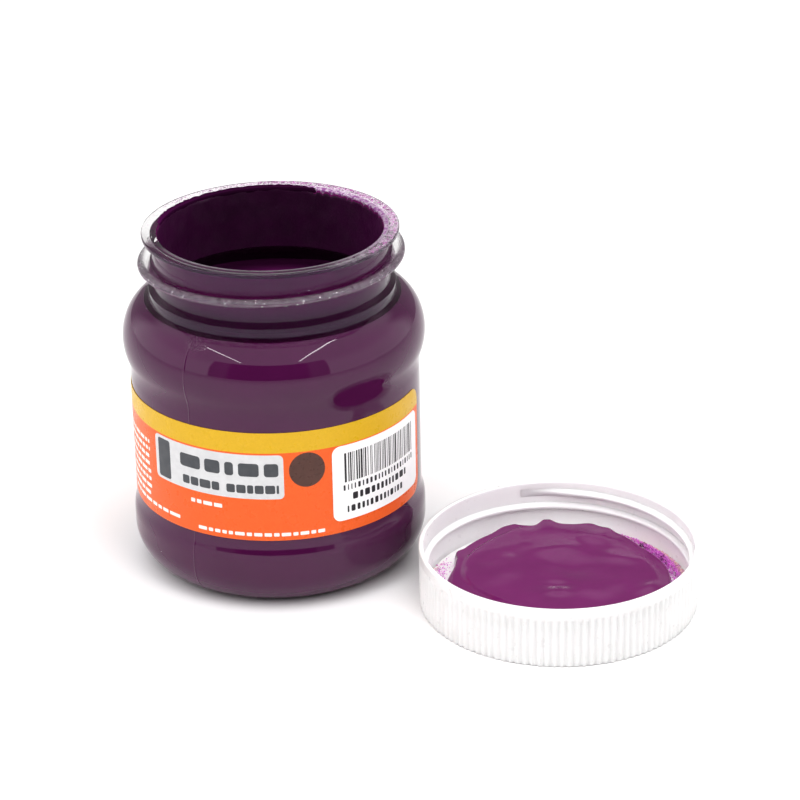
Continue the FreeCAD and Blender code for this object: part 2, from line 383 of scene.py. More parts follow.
class Look(Nodes):
    """A node material built round one Principled shader, with places in millimetres."""

    def __init__(self, name, color, roughness, **inputs):
        self.material = bpy.data.materials.new(name)
        self.material.use_nodes = True
        super().__init__(self.material.node_tree)
        self.shader = self.nodes["Principled BSDF"]
        self.color(color)
        self.roughness(roughness)
        self.feed(self.shader, inputs)
        scale = self.new("VectorMath")
        scale.operation = "SCALE"
        self.feed(scale, {"Vector": self.new("TexCoord").outputs["Object"], "Scale": 1 / MM})
        self.place = scale.outputs[0]

    def axes(self):
        return self.split(self.place)

    def reach(self, centre=(0.0, 0.0)):
        """Distance from an upright axis."""
        x, y, _ = self.axes()
        return self.length(self.minus(x, centre[0]), self.minus(y, centre[1]))

    def noise(self, size, detail=3.0, roughness=0.55, distortion=0.0):
        """Noise with features about size millimetres across, from 0 to 1."""
        node = self.new("TexNoise", Vector=self.place, Scale=1 / size, Detail=detail,
                        Roughness=roughness, Distortion=distortion)
        return node.outputs["Fac"]

    def dots(self, spacing, share, radius):
        """Scattered round specks, 1 inside and 0 outside; share is how many cells have one."""
        cells = self.new("TexVoronoi", Vector=self.place, Scale=1 / spacing)
        draw = self.new("SeparateColor", Color=cells.outputs["Color"])
        chosen = self.math("LESS_THAN", draw.outputs[0], share)
        edge = radius / spacing
        return self.times(chosen, self.ramp(cells.outputs["Distance"], edge, edge * 0.7))

    def mix(self, factor, first, second):
        node = self.new("Mix")
        node.data_type = "RGBA"
        self.link(factor, node.inputs["Factor"])
        self.link(first, node.inputs[6])
        self.link(second, node.inputs[7])
        return node.outputs[2]

    def mottled(self, size, first, second, low=0.3, high=0.7, detail=4):
        """Two colours in soft patches about size millimetres across."""
        return self.mix(self.ramp(self.noise(size, detail), low, high), first, second)

    def color(self, value):
        self.link(value, self.shader.inputs["Base Color"])

    def transmission(self, value):
        self.link(value, self.shader.inputs["Transmission Weight"])

    def roughness(self, value):
        self.link(value, self.shader.inputs["Roughness"])

    def uneven_gloss(self, size, low, high):
        self.roughness(self.ramp(self.noise(size, 3), 0.3, 0.7, low, high))

    def bump(self, value, depth):
        """Bump of a height from 0 to 1, depth in millimetres."""
        normal = self.new("Bump", Distance=depth * MM, Strength=1.0, Height=value).outputs[0]
        self.feed(self.shader, {"Normal": normal, "Coat Normal": normal})


DUST = (0.9, 0.88, 0.88)


def thread_crest(look, reach, height):
    """1 on the crest of the thread ridge."""
    below_lip = look.ramp(height, 79.8, 79.3)
    return look.times(look.ramp(reach, 29.3, 30.0), look.ramp(height, 73.0, 73.5), below_lip)


def lip_smear(look, x, y, reach, on_lip, bevel):
    """Where thin paint is smeared on the lip: patches toward the right, streaks at the back,
    and the bevel."""
    toward_right = look.ramp(look.plus(look.times(x, 0.85), look.times(y, 0.5)), -4, 20)
    patches = look.ramp(look.noise(1.4, 4, 0.65), 0.40, 0.60)
    at_right = look.times(toward_right, look.largest(look.times(patches, 0.7), bevel))
    streaks = look.ramp(look.noise(1.2, 4), 0.5, 0.62)
    at_back = look.times(look.ramp(y, 6, 24), streaks, 0.4)
    at_front = look.times(bevel, look.ramp(y, -10, -22), 0.35)
    on_land = look.times(on_lip, look.ramp(reach, 27.7, 28.1))
    specks = look.largest(look.dots(0.5, 0.5, 0.2), look.dots(1.1, 0.4, 0.36))
    patchy = look.ramp(look.noise(3, 3), 0.40, 0.55)
    specks = look.times(specks, on_land, patchy, look.largest(toward_right, look.ramp(y, 14, 24)))
    return look.times(on_lip, look.largest(at_right, at_back, at_front)), specks


def clear_plastic_look():
    """Clear moulded plastic: frosted thread crest, dust specks, and paint smeared on the lip."""
    clear = (0.97, 0.965, 0.975)
    look = Look("clear_plastic", clear, 0.03, Transmission_Weight=1.0, IOR=1.5,
                Specular_Tint=(0.84, 0.78, 1.0))
    x, y, height = look.axes()
    reach = look.reach()
    crest = thread_crest(look, reach, height)
    worn = look.times(crest, look.ramp(look.noise(1.1, 4), 0.3, 0.7, 0.35, 1.0))
    crest_dust = look.times(look.dots(1.3, 0.4, 0.17), look.ramp(crest, 0.1, 0.4))
    dust = look.largest(crest_dust, look.dots(5.0, 0.3, 0.11))
    on_lip = look.times(look.ramp(height, 81.2, 81.8), look.ramp(reach, 29.95, 29.6))
    thickness = look.ramp(look.noise(1.0, 4), 0.34, 0.56, 0.4, 1.0)
    bevel = look.times(look.ramp(reach, 27.8, 27.3), thickness)
    smear, specks = lip_smear(look, x, y, reach, on_lip, bevel)
    color = look.mix(smear, clear, look.mix(bevel, (0.76, 0.46, 0.74), (0.29, 0.085, 0.29)))
    look.color(look.mix(specks, look.mix(dust, color, DUST), (0.26, 0.006, 0.21)))
    cover = look.largest(dust, look.times(smear, 0.75), specks, look.times(worn, 0.16))
    look.transmission(look.minus(1.0, cover))
    look.roughness(look.plus(look.times(look.largest(smear, look.times(worn, 0.5)), 0.5), 0.03))
    grain = look.times(look.noise(0.35, 3), look.largest(crest, smear))
    flaw = flaw_relief(look, x, y, height)
    look.bump(look.plus(look.plus(look.noise(14, 2), look.times(grain, 0.6)), flaw), 0.05)
    return look.material


def wetted_wall_look():
    """The wall where paint wets it from behind: the paint's own colour under the plastic's gloss."""
    dark, light = (0.063, 0.0050, 0.047), (0.071, 0.0060, 0.053)
    look = Look("clear_wetted", dark, 0.4, Specular_IOR_Level=0.0, Coat_Weight=1.0,
                Coat_Roughness=0.03, Coat_IOR=1.5)
    look.color(look.mix(look.dots(5.0, 0.3, 0.11), look.mottled(9, dark, light), DUST))
    look.bump(look.plus(look.noise(14, 2), flaw_relief(look, *look.axes())), 0.05)
    return look.material


def flaw_relief(look, x, y, height):
    """A crinkle in the plastic where the parting line meets the shoulder."""
    middle = polar(FLAW_RADIUS, SEAM_AZIMUTH + 2, FLAW_HEIGHT)
    away = look.length(*(look.minus(axis, place / MM) for axis, place in zip((x, y, height), middle)))
    return look.times(look.noise(0.9, 2, 0.5, 1.5), look.ramp(away, 3.2, 1.2), 6.0)


def shaded_crease_look():
    """Clear plastic in the creases under the neck, slightly dulled, with painted shade: its reflection
    dimmed and its colour tinted purple so the creases read dark.
    """
    look = Look("clear_crease", (0.7, 0.6, 0.7), 0.06, IOR=1.5, Transmission_Weight=1.0,
                Specular_Tint=(0.16, 0.12, 0.18))
    look.color(look.mottled(2.5, (0.66, 0.54, 0.66), (0.8, 0.68, 0.8), detail=3))
    look.bump(look.noise(3, 2), 0.02)
    return look.material


def dry_coat_look(name, gloss):
    """Dull dried coat on the inside of the neck, darker toward the back."""
    look = Look(name, (0.05, 0.005, 0.04), 0.4, IOR=1.45, Specular_IOR_Level=gloss)
    # Two mottled colours blended by y: the lighter one toward the front, the darker one toward the back.
    thin = look.mottled(9, (0.056, 0.0052, 0.046), (0.076, 0.0074, 0.063))
    back_tone = look.mottled(5, (0.026, 0.0034, 0.022), (0.036, 0.0042, 0.030))
    look.color(look.mix(look.ramp(look.axes()[1], 2, 24), thin, back_tone))
    look.uneven_gloss(4, 0.3, 0.6)
    look.bump(look.noise(2.5, 3), 0.12)
    return look.material


def coat_look():
    """Paint against the clear neck: darker toward the creases, where less light gets in."""
    look = Look("wetted_coat", (0.13, 0.0115, 0.1), 0.4, IOR=1.45, Specular_IOR_Level=0.0)
    height = look.axes()[2]
    full = look.mottled(9, (0.130, 0.0115, 0.092), (0.145, 0.013, 0.104))
    neck = look.times(look.ramp(height, 69.5, 77.0, 0.6, 1.45), look.ramp(height, 66.0, 66.4))
    shade = look.largest(neck, look.ramp(height, 66.6, 65.4, 0.6, 0.85))
    look.color(look.mix(shade, (0.004, 0.0006, 0.004), full))
    look.uneven_gloss(4, 0.3, 0.5)
    look.bump(look.noise(3, 2), 0.06)
    return look.material


def paint_look(name, dark, light, roughness, wave, depth=0.06, **inputs):
    look = Look(name, dark, roughness, IOR=1.45, **inputs)
    look.color(look.mottled(9, dark, light))
    look.uneven_gloss(4, roughness * 0.7, roughness * 1.5)
    look.bump(look.noise(wave, 2), depth)
    return look.material


def label_look():
    """Printed film: yellow band over orange, with slight press mottle and scuffs."""
    look = Look("label_film", (0.9, 0.2, 0.05), 0.3, IOR=1.4)
    orange = look.mottled(0.5, (0.79, 0.125, 0.017), (0.83, 0.142, 0.024))
    yellow = look.mottled(0.5, (0.65, 0.405, 0.012), (0.70, 0.44, 0.02))
    look.color(look.mix(look.math("GREATER_THAN", look.axes()[2], YELLOW_LOW), orange, yellow))
    look.roughness(look.ramp(look.noise(3, 4), 0.3, 0.7, 0.22, 0.4))
    look.bump(look.noise(9, 2), 0.03)
    return look.material


def plain_look(name, first, second, roughness, grain, depth, **inputs):
    """Solid colour with grain: fine mottle, uneven gloss and a shallow moulded or pressed surface."""
    look = Look(name, first, roughness, **inputs)
    look.color(look.mottled(grain * 6, first, second, 0.35, 0.65))
    look.uneven_gloss(grain * 3, roughness * 0.8, roughness * 1.25)
    look.bump(look.noise(grain, 3), depth)
    return look.material


# ---- jar


def thread_height(azimuth):
    """Height and fullness (0 to 1) of the jar's thread ridge at an azimuth."""
    turn = ((azimuth - JAR_THREAD_AZIMUTH) % 360) / 360
    top = JAR_THREAD_START + THREAD_PITCH * JAR_THREAD_TURNS
    if turn > JAR_THREAD_TURNS:
        back = smooth_step((turn - JAR_THREAD_TURNS) / (1 - JAR_THREAD_TURNS))
        return top + (JAR_THREAD_START - top) * back, 0.0
    ramp = 0.035
    full = smooth_step(turn / ramp) * smooth_step((JAR_THREAD_TURNS - turn) / ramp)
    return JAR_THREAD_START + THREAD_PITCH * turn, full


RIDGE_SECTION = ((-1.3, 0.0), (-1.05, 0.03), (-0.97, 0.15), (-0.9, 0.38), (-0.82, 0.62), (-0.7, 0.83),
                 (-0.52, 0.95), (-0.25, 1.0), (0.0, 1.01), (0.25, 1.0), (0.52, 0.95), (0.7, 0.83),
                 (0.84, 0.64), (0.95, 0.4), (1.02, 0.18), (1.1, 0.05), (1.3, 0.0))


def ridge_row(rise, share):
    def row(azimuth):
        height, full = thread_height(azimuth)
        return NECK_RADIUS + (JAR_THREAD_RADIUS - NECK_RADIUS) * share * full, height + rise
    return row


def between_row(part, fixed_height, rise):
    """A row on the neck's wall, part of the way from a fixed height to the ridge's edge."""
    def row(azimuth):
        edge = thread_height(azimuth)[0] + rise
        return NECK_RADIUS, fixed_height + (edge - fixed_height) * part
    return row


def with_seam(row):
    """The same row with the mould's parting line, a hair-thin rib on two sides."""
    def raised(azimuth):
        radius, height = row(azimuth)
        away = (azimuth - SEAM_AZIMUTH + 90) % 180 - 90
        return radius + 0.1 * math.exp(-(away / 0.26) ** 2), height
    return raised


def jar_columns():
    columns = even_columns(480)
    close = (-0.6, -0.4, -0.25, -0.1, 0.05, 0.2, 0.35, 0.5)
    for side in (0, 180):
        columns += [(SEAM_AZIMUTH + side + step) % 360 for step in close]
    return sorted(set(columns))


def build_jar():
    shoulder = shoulder_outline(0, BEAD_RADIUS)
    bead = rounded([
        (*shoulder[-2], 0), (*shoulder[-1], 0.1), (BEAD_RADIUS, BEAD_HIGH, 0.16),
        (NECK_RADIUS, NECK_LOW, 0.25), (NECK_RADIUS, NECK_LOW + 0.8, 0)])
    lip = rounded([
        (NECK_RADIUS, LIP_LOW - 0.9, 0), (NECK_RADIUS, LIP_LOW, 0.3), (LIP_RADIUS, LIP_LOW, 0.2),
        (LIP_RADIUS, LAND_HEIGHT, 0.2), (LAND_RADIUS, LAND_HEIGHT, 0.12),
        (BORE_RADIUS, LAND_HEIGHT - 0.2, 0.3), (BORE_RADIUS, JAR_HEIGHT - 2.0, 0)])
    outside = [(0, 0), (BASE_RADIUS * 0.5, 0)] + wall_outline(0)
    outside += shoulder[:-2] + bead
    rows = [with_seam(row) for row in fixed_rows(outside)]
    low_edge = NECK_LOW + 0.8
    rows += [with_seam(between_row(part / 4, low_edge, -1.25)) for part in (1, 2, 3)]
    rows += [with_seam(ridge_row(rise, share)) for rise, share in RIDGE_SECTION]
    high_edge = LIP_LOW - 0.9
    rows += [with_seam(between_row(1 - part / 4, high_edge, 1.25)) for part in (1, 2, 3)]
    inside = list(reversed(wall_outline(WALL) + shoulder_outline(WALL, BORE_RADIUS)))
    bore = straight((BORE_RADIUS, JAR_HEIGHT - 3), (BORE_RADIUS, BEAD_LOW + 0.6), 8)
    rows += fixed_rows(lip + bore + inside)
    rows += fixed_rows([(BASE_RADIUS * 0.5, WALL), (0, WALL)])
    skin = turned(jar_columns(), rows)
    jar = make_piece("jar_clear", skin, clear_plastic_look(), "jar", 40)
    jar.data.materials.append(shaded_crease_look())
    jar.data.materials.append(wetted_wall_look())
    for polygon in jar.data.polygons:
        radius = math.hypot(polygon.center.x, polygon.center.y) / MM
        height = polygon.center.z / MM
        # Faces in the creases under the neck take the material with painted crease shade.
        under_neck = NECK_RADIUS < radius < CREASE_RADIUS and CREASE_LOW < height < NECK_LOW + 0.1
        if under_neck and polygon.normal.z > 0.4:
            polygon.material_index = 1
        elif height < BODY_TOP or (radius >= CREASE_RADIUS and height < BEAD_LOW + 0.6):
            polygon.material_index = 2
    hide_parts("jar_shell")


def build_lip_flecks():
    """Small dried flecks of paint on the lip, thick at the back right and thin elsewhere."""
    stretches = (
        # from azimuth, to azimuth, how many, biggest size
        (-40, 15, 300, 0.28), (15, 95, 560, 0.42), (95, 150, 90, 0.26), (150, 320, 16, 0.15))
    rng = random.Random(41)
    points, faces = [], []
    for first, last, count, biggest in stretches:
        for _ in range(count):
            azimuth = rng.uniform(first, last)
            radius = rng.triangular(27.6, 29.75, 29.2)
            size = biggest * rng.uniform(0.35, 1.0) ** 1.6
            centre = Vector(polar(radius, azimuth, JAR_HEIGHT - max(size * 0.7, 0.08)))
            add_grain(points, faces, rng, centre, size, 0, JAR_HEIGHT)
    look = Look("lip_flecks", (0.3, 0.03, 0.28), 0.5)
    look.color(look.mottled(0.8, (0.16, 0.008, 0.13), (0.62, 0.07, 0.52), 0.4, 0.6, 3))
    look.bump(look.noise(0.1, 3), 0.01)
    make_piece("lip_flecks", (points, faces), look.material, "jar", 25)


def build_paint():
    """Bulk paint; its skin lies just inside the wall, and its surface climbs steeply at the coat."""
    inset = WALL - WETTED
    edge = up_to(shoulder_outline(inset, BORE_RADIUS), PAINT_LEVEL + 0.75)
    outline = [(0, inset), (BASE_RADIUS * 0.5, inset)] + wall_outline(inset) + edge
    rim = outline[-1][0]
    climb = outline[-1][1] - PAINT_LEVEL
    surface = []
    close = [0.3, 0.38, 0.46, 0.56, 0.68, 0.82, 1.0, 1.25, 1.6, 2.1]
    for inward in close + [close[-1] + 0.6 * step for step in range(1, 51)]:
        past_coat = max(inward - COAT_THICKNESS, 0)
        surface.append((rim - inward, PAINT_LEVEL + climb * math.exp(-past_coat / 0.4)))
    rows = fixed_rows(outline) + [rippled(spot) for spot in surface]
    rows += fixed_rows([(0, PAINT_LEVEL)])
    skin = turned(even_columns(360), rows)
    wetted = paint_look("wetted_paint", (0.094, 0.0086, 0.066), (0.104, 0.0098, 0.073), 0.08, 14, 0.03,
                        Specular_IOR_Level=0.2, Specular_Tint=(0.3, 0.05, 1.0))
    paint = make_piece("paint_bulk", skin, wetted, "jar", 60)
    top = paint_look("wet_paint", (0.135, 0.0135, 0.105), (0.15, 0.0155, 0.118), 0.07, 12)
    paint.data.materials.append(top)
    for polygon in paint.data.polygons:
        if polygon.center.z > PAINT_LEVEL * MM - 0.0006 and polygon.normal.z > 0.3:
            polygon.material_index = 1
    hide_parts("paint_fill")


def rippled(spot):
    """A row of the paint's surface, a quarter of a millimetre uneven."""
    def row(azimuth):
        x, y = flat(spot[0], azimuth)
        swell = 0.25 * noise_at(x / 11, y / 11, 3.1) + 0.05 * noise_at(x / 3, y / 3, 6.0)
        return spot[0], spot[1] + swell
    return row


def closed_band(columns, rows):
    """Skin of a closed ring-shaped band. rows go once round its section."""
    points = spun(columns, rows)
    faces = []
    count = len(rows)
    for column in range(len(columns)):
        here = column * count
        there = (column + 1) % len(columns) * count
        for row in range(count):
            following = (row + 1) % count
            faces.append((here + row, there + row, there + following, here + following))
    return points, faces


def film_edge(azimuth):
    """Ragged upper edge of the dried coat: round lobes at the back right, fine teeth elsewhere."""
    x, y = flat(BORE_RADIUS, azimuth)
    around = BORE_RADIUS * math.radians(azimuth)
    lobes = smooth_step((math.cos(math.radians(azimuth - 36)) - 0.72) / 0.15)
    lobe = abs(math.sin(around / 3.1 * math.pi + 3.2 * noise_at(x / 4, y / 4, 0.3))) ** 0.5
    teeth = 0.5 + 0.5 * noise_at(x / 0.5, y / 0.5, 7.0)
    drift = noise_at(x / 4, y / 4, 1.7)
    return FILM_TOP - lobes * (0.95 - 0.8 * lobe) - 0.3 * teeth + min(0.3 * drift, 0)


def build_film():
    """Dried coat on the inside of shoulder and neck, lumpy, and thin at its ragged edge."""
    inset = WALL - WETTED
    outer_radius = BORE_RADIUS + WETTED
    outer = [spot for spot in shoulder_outline(inset, outer_radius) if spot[1] > PAINT_LEVEL - 0.4]
    rows = fixed_rows([(outer[0][0] - 2.5, outer[0][1])] + outer + [(outer_radius, BEAD_LOW + 0.3)])
    levels = [part / 12 for part in range(1, 13)]

    def wall_row(part, radius, lump):
        def row(azimuth):
            top = film_edge(azimuth)
            height = BEAD_LOW + 0.5 + (top - BEAD_LOW - 0.5) * part
            thin = smooth_step((top - height) / 0.8)
            swell = lump * thin * (0.5 + noise_at(*flat(9, azimuth), height / 3))
            return radius - 0.02 - 0.1 * thin - swell, height
        return row

    rows += [wall_row(part, outer_radius + 0.1, 0.0) for part in levels]
    rows += [wall_row(part, BORE_RADIUS, 0.16) for part in (0.995, 0.985, 0.97, 0.94)]
    rows += [wall_row(part, BORE_RADIUS, 0.16) for part in reversed(levels[:-1])]
    skin = [(radius - 0.25 - WETTED, height) for radius, height in reversed(outer)]
    rows += fixed_rows(skin)
    skin = closed_band(even_columns(1100), rows)
    film = make_piece("paint_coat", skin, coat_look(), "jar", 60)
    film.data.materials.append(dry_coat_look("paint_coat", 0.35))
    first_inside = len(outer) + len(levels) + 4
    for polygon in film.data.polygons:
        if polygon.vertices[0] % len(rows) >= first_inside:
            polygon.material_index = 1
    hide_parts("paint_film")
    build_rim_coat(dry_coat_look("rim_coat", 0.0))


def rim_spread(azimuth):
    """How far the dried coat spreads over the bevel under the lip's land, from 0 to 1."""
    back = smooth_step((azimuth - 62) / 16) * smooth_step((172 - azimuth) / 14)
    coarse = 0.92 + 0.3 * noise_at(*flat(27, azimuth), 5.0)
    return back * coarse + 0.12 * noise_at(*flat(18, azimuth), 9.0)


def build_rim_coat(material):
    """The part of the coat that lies on the bevel between the bore and the land, at the back.

    Where the coat doesn't spread that far, the band sinks into the plastic."""
    def over(rise, share):
        def row(azimuth):
            radius = BORE_RADIUS + 0.25 + 0.95 * share * max(rim_spread(azimuth), 0)
            sunk = 0.5 * (1 - smooth_step(rim_spread(azimuth) * 5))
            height = LAND_HEIGHT - 0.17 * (LAND_RADIUS - radius) / 0.95
            return radius, min(height + rise - sunk, JAR_HEIGHT)
        return row

    def wall(inward, height):
        def row(azimuth):
            shown = smooth_step(rim_spread(azimuth) * 5)
            radius = BORE_RADIUS + 0.2 - (0.2 + inward) * shown
            return radius, RIM_COAT_LOW + (height - RIM_COAT_LOW) * shown
        return row

    rows = [over(-0.05, 1.0), over(0.02, 0.95), over(0.03, 0.8), over(0.05, 0.4), over(0.07, 0.0)]
    rows += [wall(0.15, FILM_TOP - 0.03), wall(0.17, FILM_TOP - 0.4), wall(0.14, FILM_TOP - 1.0)]
    rows += fixed_rows([(BORE_RADIUS + 0.25, RIM_COAT_LOW)])
    skin = closed_band(even_columns(900), rows)
    make_piece("rim_coat", skin, material, "jar", 60)


# ---- label and sticker


class Wrap:
    """Thin closed slabs bent round the jar's axis, gathered into one mesh."""

    def __init__(self, inner, thickness):
        self.inner = inner
        self.outer = inner + thickness
        self.points = []
        self.faces = []

    def strip(self, columns):
        """columns are (azimuth, low, high), in order; low and high in millimetres."""
        base = len(self.points)
        for azimuth, low, high in columns:
            for radius in (self.inner, self.outer):
                for height in (low, high):
                    self.points.append(polar(radius, azimuth, height))
        for index in range(len(columns) - 1):
            a = base + index * 4
            b = a + 4
            self.faces += [(a + 2, b + 2, b + 3, a + 3), (b, a, a + 1, b + 1),
                           (a + 1, a + 3, b + 3, b + 1), (a + 2, a, b, b + 2)]
        last = base + (len(columns) - 1) * 4
        self.faces += [(base, base + 2, base + 3, base + 1), (last + 2, last, last + 1, last + 3)]

    def block(self, first, last, low, high, corner=0.0):
        """Rectangle from azimuth first to last, with rounded corners."""
        reach = math.degrees(corner / self.outer)
        stops = set()
        steps = 8 if corner else 0
        for step in range(steps + 1):
            inward = reach * (1 - math.cos(math.pi / 2 * step / max(steps, 1)))
            stops |= {first + inward, last - inward}
        stops |= {first, last}
        middle = int(math.ceil((last - first) / 1.5))
        run = last - first - 2 * reach
        stops |= {first + reach + run * step / middle for step in range(middle + 1)}
        columns = []
        for azimuth in sorted(stops):
            edge = min(azimuth - first, last - azimuth, reach)
            share = 1 - edge / reach if reach else 0
            cut = corner * (1 - math.sqrt(max(1 - share * share, 0)))
            cut = min(cut, (high - low) / 2 - 0.01)
            columns.append((azimuth, low + cut, high - cut))
        self.strip(columns)

    def piece(self, name, material, slot):
        return make_piece(name, (self.points, self.faces), material, "jar", 30)


def build_label():
    inner = PANEL_RADIUS + 0.02
    wrap = Wrap(inner, 0.12)
    wrap.block(LABEL_FROM, LABEL_TO, LABEL_LOW[2], LABEL_HIGH[2], LABEL_CORNER)
    label = wrap.piece("label_film", label_look(), "label_film")
    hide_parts("wrap_label")
    face = inner + 0.12
    build_label_print(face)
    sticker = Wrap(face + 0.02, 0.12)
    sticker.block(STICKER_FROM, STICKER_TO, STICKER_LOW[2], STICKER_HIGH[2], STICKER_CORNER)
    paper = plain_look("sticker_paper", (0.9, 0.9, 0.905), (0.93, 0.93, 0.93), 0.45, 0.4, 0.008)
    sheet = sticker.piece("sticker_paper", paper, "sticker_paper")
    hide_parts("shade_sticker")
    build_sticker_print(face + 0.14)


def word_row(wrap, first, last, low, high, rng, longest=4.0, gap=0.7, corner=0.2):
    """A line of plain blocks, of uneven length, where a printed line would be."""
    azimuth = first
    while azimuth < last - 0.6:
        length = min(rng.uniform(0.35, 1.0) * longest, last - azimuth)
        wrap.block(azimuth, azimuth + length, low, high, min(corner, length * 0.2))
        azimuth += length + gap


def build_label_print(face):
    rng = random.Random(11)
    grey = Wrap(face, PRINT_THICKNESS)
    grey.block(214, 271.5, 29.2, 40.4, 1.2)
    silver = plain_look("print_silver", (0.62, 0.62, 0.63), (0.67, 0.67, 0.68), 0.35, 0.3, 0.004)
    grey.piece("print_panel", silver, "label_film")

    slate = Wrap(face + PRINT_THICKNESS, PRINT_THICKNESS)
    slate.block(216, 223, 29.9, 39.7, 0.6)
    for first, last in ((228.5, 238), (240, 246.5), (248.5, 252), (254, 262), (264, 269.5)):
        slate.block(first, last, 34.9, 38.2, 0.7)
    word_row(slate, 229.5, 246, 30.6, 32.7, rng, 5.0, 0.6, 0.4)
    word_row(slate, 249, 269.5, 30.6, 32.7, rng, 5.0, 0.6, 0.4)
    dark = plain_look("print_slate", (0.055, 0.06, 0.07), (0.075, 0.08, 0.09), 0.35, 0.3, 0.004)
    slate.piece("print_slate", dark, "label_film")
    ink = plain_look("print_brown", (0.075, 0.026, 0.017), (0.095, 0.034, 0.023), 0.3, 0.3, 0.004)

    dab = Wrap(face, PRINT_THICKNESS)
    middle, reach = 280.6, 5.2
    columns = []
    for step in range(41):
        across = math.cos(math.pi * (1 - step / 40))
        half = 4.3 * math.sqrt(max(1 - across ** 2, 0)) + 0.02
        columns.append((middle + reach * across * 1.35, 36.2 - half, 36.2 + half))
    dab.strip(columns)
    dab.piece("print_dab", ink, "label_film")

    white = Wrap(face, PRINT_THICKNESS)
    for line in range(8):
        low = 36.2 - line * 1.95
        word_row(white, 186 + 1.5 * (line % 3), 209, low, low + 0.95, rng, 5.0, 0.8)
    word_row(white, 190, 228, 20.6, 21.5, rng, 6.0, 0.9)
    word_row(white, 236, 287, 19.6, 20.5, rng, 4.5, 0.8)
    word_row(white, 233, 247, 26.2, 27.2, rng, 4.0, 0.8)
    light = plain_look("print_white", (0.8, 0.77, 0.74), (0.86, 0.83, 0.8), 0.35, 0.3, 0.004)
    white.piece("print_white", light, "label_film")


def build_sticker_print(face):
    rng = random.Random(5)
    ink = Wrap(face, PRINT_THICKNESS)
    azimuth = 295.6
    while azimuth < 334.5:
        width = rng.choice((0.26, 0.28, 0.45, 0.6, 0.85))
        ink.block(azimuth, azimuth + width, 31.2, 38.6)
        azimuth += width + rng.choice((0.42, 0.45, 0.75, 1.05))
    word_row(ink, 295.0, 334.5, 29.1, 30.5, rng, 1.1, 1.1, 0.2)
    word_row(ink, 299.0, 329.0, 26.4, 28.1, rng, 2.4, 1.0, 0.3)
    word_row(ink, 296.5, 326.0, 23.4, 25.0, rng, 1.8, 1.0, 0.3)
    black = plain_look("print_black", (0.02, 0.02, 0.022), (0.03, 0.03, 0.032), 0.4, 0.3, 0.004)
    ink.piece("print_black", black, "sticker_paper")


# ---- cap


def cap_polar(radius, azimuth, height):
    return polar(radius, azimuth, height, CAP_AXIS)


def build_cap():
    """Skirt with grip ribs outside, plain bore and plate inside."""
    skirt = rounded([
        (CAP_RADIUS - 2.5, 0, 0), (CAP_RADIUS, 0, 0.45), (CAP_RADIUS, CAP_HEIGHT, 0.35),
        (CAP_BORE, CAP_HEIGHT, 0.4), (CAP_BORE, CAP_PLATE, 0.5), (CAP_BORE - 2.5, CAP_PLATE, 0)], 5)
    outside = [spot for spot in skirt if spot[0] > CAP_RADIUS - 0.7 and spot[1] < CAP_HEIGHT - 0.5]
    rest = skirt[skirt.index(outside[-1]) + 1:]
    plate = [(0, 0.25), (10, 0.25), (27.2, 0.25), (27.6, 0.2), (28.2, 0.02), (28.6, 0), (30, 0)]
    heights = [1.2, 3, 6, 9, 11.3, 11.7, 12.0, 12.2, RIB_TOP, 12.6]
    rows = fixed_rows(plate)
    rows += [ribbed_row(spot) for spot in outside[:-1]]
    rows += [ribbed_row((CAP_RADIUS, height)) for height in heights]
    rows += fixed_rows([(CAP_RADIUS, 13.4)] + rest)
    rows += fixed_rows([(20, CAP_PLATE), (0, CAP_PLATE)])
    skin = turned(even_columns(RIB_COUNT * 8), rows, CAP_AXIS)
    look = Look("white_plastic", (0.93, 0.925, 0.92), 0.32, IOR=1.49, Subsurface_Weight=0.6,
                Subsurface_Scale=0.002, Subsurface_Radius=(1.0, 0.95, 0.95))
    # Painted light and shade on one white plastic: inside the bore (plate and thread too) it is coloured
    # near white as painted light, outside a darker grey as painted shade.
    inner = look.mottled(8, (0.975, 0.97, 0.972), (0.99, 0.985, 0.987), 0.35, 0.65)
    outer = look.mottled(8, (0.765, 0.76, 0.758), (0.795, 0.79, 0.79), 0.35, 0.65)
    reach = look.reach(CAP_AXIS)
    look.color(look.mix(look.ramp(reach, CAP_BORE + 0.3, CAP_BORE + 0.5), inner, outer))
    look.uneven_gloss(2, 0.26, 0.42)
    look.bump(look.noise(0.8, 3), 0.012)
    cap = make_piece("cap_white", skin, look.material, "cap", 50)
    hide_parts("cap_shell")
    build_cap_thread(look.material)


def ribbed_row(spot):
    """Round-crested grip ribs with narrow grooves, fading out under the smooth band."""
    fade = smooth_step((RIB_TOP - spot[1]) / 0.9)

    def row(azimuth):
        phase = azimuth / 360 * RIB_COUNT % 1
        groove = abs(math.cos(math.pi * phase)) ** 2.2
        return spot[0] - RIB_DEPTH * groove * fade, spot[1]
    return row


def build_cap_thread(material):
    """Helical ridge on the cap's bore, as a closed band with tapered ends."""
    section = ((0.6, -1.1), (0.0, -1.0), (-0.35, -0.72), (-0.8, -0.52), (-1.1, -0.36), (-1.2, -0.15),
               (-1.2, 0.15), (-1.1, 0.36), (-0.8, 0.52), (-0.35, 0.72), (0.0, 1.0), (0.6, 1.1))
    steps = 420
    points = []
    for step in range(steps + 1):
        turn = CAP_THREAD_TURNS * step / steps
        azimuth = CAP_THREAD_AZIMUTH + 360 * turn
        full = smooth_step(turn / 0.08) * smooth_step((CAP_THREAD_TURNS - turn) / 0.08)
        height = CAP_THREAD_START + THREAD_PITCH * turn
        for inward, rise in section:
            radius = CAP_BORE + (inward if inward > 0 else inward * full)
            if inward <= 0:
                radius = max(radius, CAP_THREAD_RADIUS)
            points.append(cap_polar(min(radius, CAP_RADIUS - 0.5), azimuth, height + rise))
    count = len(section)
    faces = []
    for step in range(steps):
        for spot in range(count):
            following = (spot + 1) % count
            a, b = step * count, (step + 1) * count
            faces.append((a + spot, a + following, b + following, b + spot))
    faces += [tuple(reversed(range(count))), tuple(steps * count + spot for spot in range(count))]
    make_piece("cap_thread", (points, faces), material, "cap", 50)


